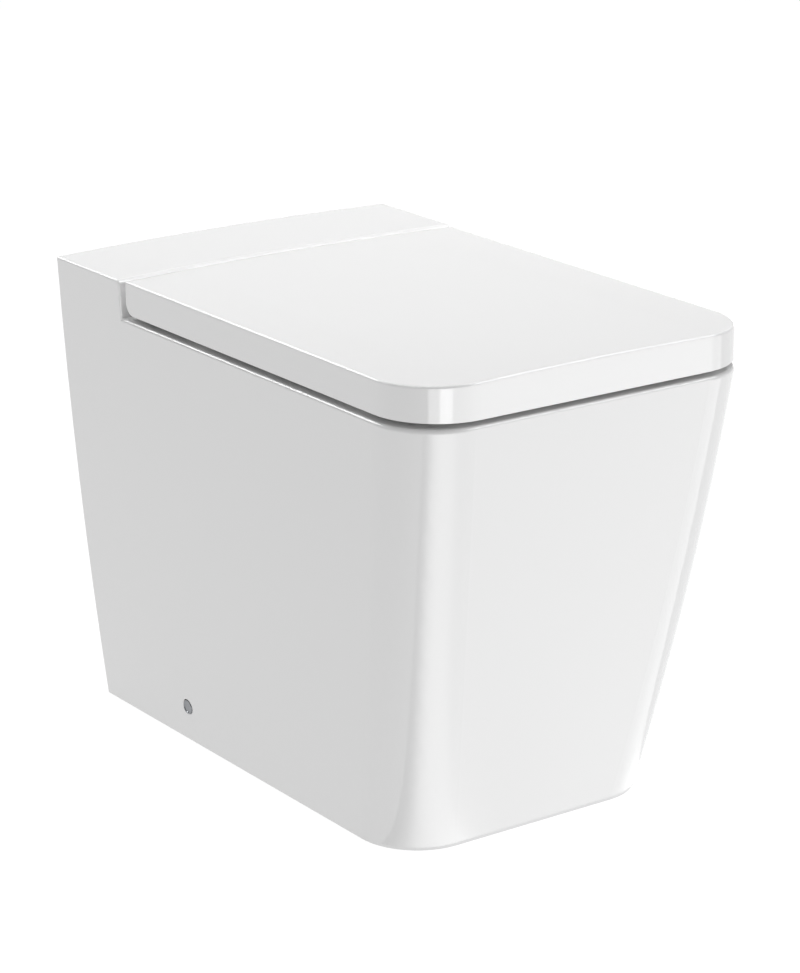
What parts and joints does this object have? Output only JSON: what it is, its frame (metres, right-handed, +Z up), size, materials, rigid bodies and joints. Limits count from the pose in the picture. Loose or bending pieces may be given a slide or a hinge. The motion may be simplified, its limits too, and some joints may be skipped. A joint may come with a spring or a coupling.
{
  "type": "back to wall toilet pan",
  "caption": "Floor-standing back-to-wall toilet pan with tapering square body, rear ledge, rimless bowl, hinged seat ring and soft-close wrap-over lid.",
  "frame": {"origin": "centre of the object's footprint box on the floor", "axes": "+Z up, +Y towards the wall that the pan backs on to, X across the width"},
  "size_m": [0.3678, 0.56, 0.44],
  "materials": {
    "glazed_china": "gloss",
    "seat_plastic": "gloss",
    "lid_plastic": "gloss",
    "chrome": "polished",
    "stainless": "satin",
    "zinc_steel": "satin",
    "rubber": "matte",
    "buffer_rubber": "matte",
    "white_nylon": "matte",
    "damper_plastic": "matte",
    "button_plastic": "satin"
  },
  "bodies": {
    "pan": {"pan_shell": "glazed_china", "pan_bowl": "glazed_china", "pan_trapway": "glazed_china", "pan_flush_horn": "glazed_china", "inlet_seal": "rubber", "floor_bracket_left": "zinc_steel", "floor_bracket_right": "zinc_steel", "bracket_nut_left": "zinc_steel", "bracket_nut_right": "zinc_steel", "side_screw_left": "zinc_steel", "side_screw_right": "zinc_steel", "side_sleeve_left": "white_nylon", "side_sleeve_right": "white_nylon", "hinge_bush_left": "rubber", "hinge_bush_right": "rubber", "hinge_bolt_left": "zinc_steel", "hinge_bolt_right": "zinc_steel", "hinge_washer_left": "zinc_steel", "hinge_washer_right": "zinc_steel", "hinge_nut_left": "zinc_steel", "hinge_nut_right": "zinc_steel", "hinge_base_left": "chrome", "hinge_base_right": "chrome", "hinge_barrel_left": "chrome", "hinge_barrel_right": "chrome", "hinge_pin_left": "stainless", "hinge_pin_right": "stainless"},
    "seat": {"seat_ring": "seat_plastic", "seat_buffers": "buffer_rubber", "seat_damper": "damper_plastic"},
    "lid": {"lid_shell": "lid_plastic", "lid_buffers": "buffer_rubber", "lid_damper": "damper_plastic"},
    "button_left": {"release_button_left": "button_plastic"},
    "cap_left": {"side_cap_left": "chrome"},
    "button_right": {"release_button_right": "button_plastic"},
    "cap_right": {"side_cap_right": "chrome"}
  },
  "joints": [
    {"name": "seat_hinge", "type": "hinge", "parent": "pan", "child": "seat", "pos_m": [0, 0.149, 0.4245], "axis": [1, 0, 0], "range_deg": [-95, 0]},
    {"name": "lid_hinge", "type": "hinge", "parent": "seat", "child": "lid", "pos_m": [0, 0.149, 0.4245], "axis": [-1, 0, 0], "range_deg": [0, 105]},
    {"name": "release_left", "type": "slide", "parent": "pan", "child": "button_left", "axis": [0, 1, 0], "range_m": [0, 0.0025], "stiffness_N_per_m": 400, "springref_m": -0.002},
    {"name": "release_right", "type": "slide", "parent": "pan", "child": "button_right", "axis": [0, 1, 0], "range_m": [0, 0.0025], "stiffness_N_per_m": 400, "springref_m": -0.002},
    {"name": "cap_pull_left", "type": "slide", "parent": "pan", "child": "cap_left", "axis": [-1, 0, 0], "range_m": [0, 0.012]},
    {"name": "cap_pull_right", "type": "slide", "parent": "pan", "child": "cap_right", "axis": [1, 0, 0], "range_m": [0, 0.012]}
  ]
}
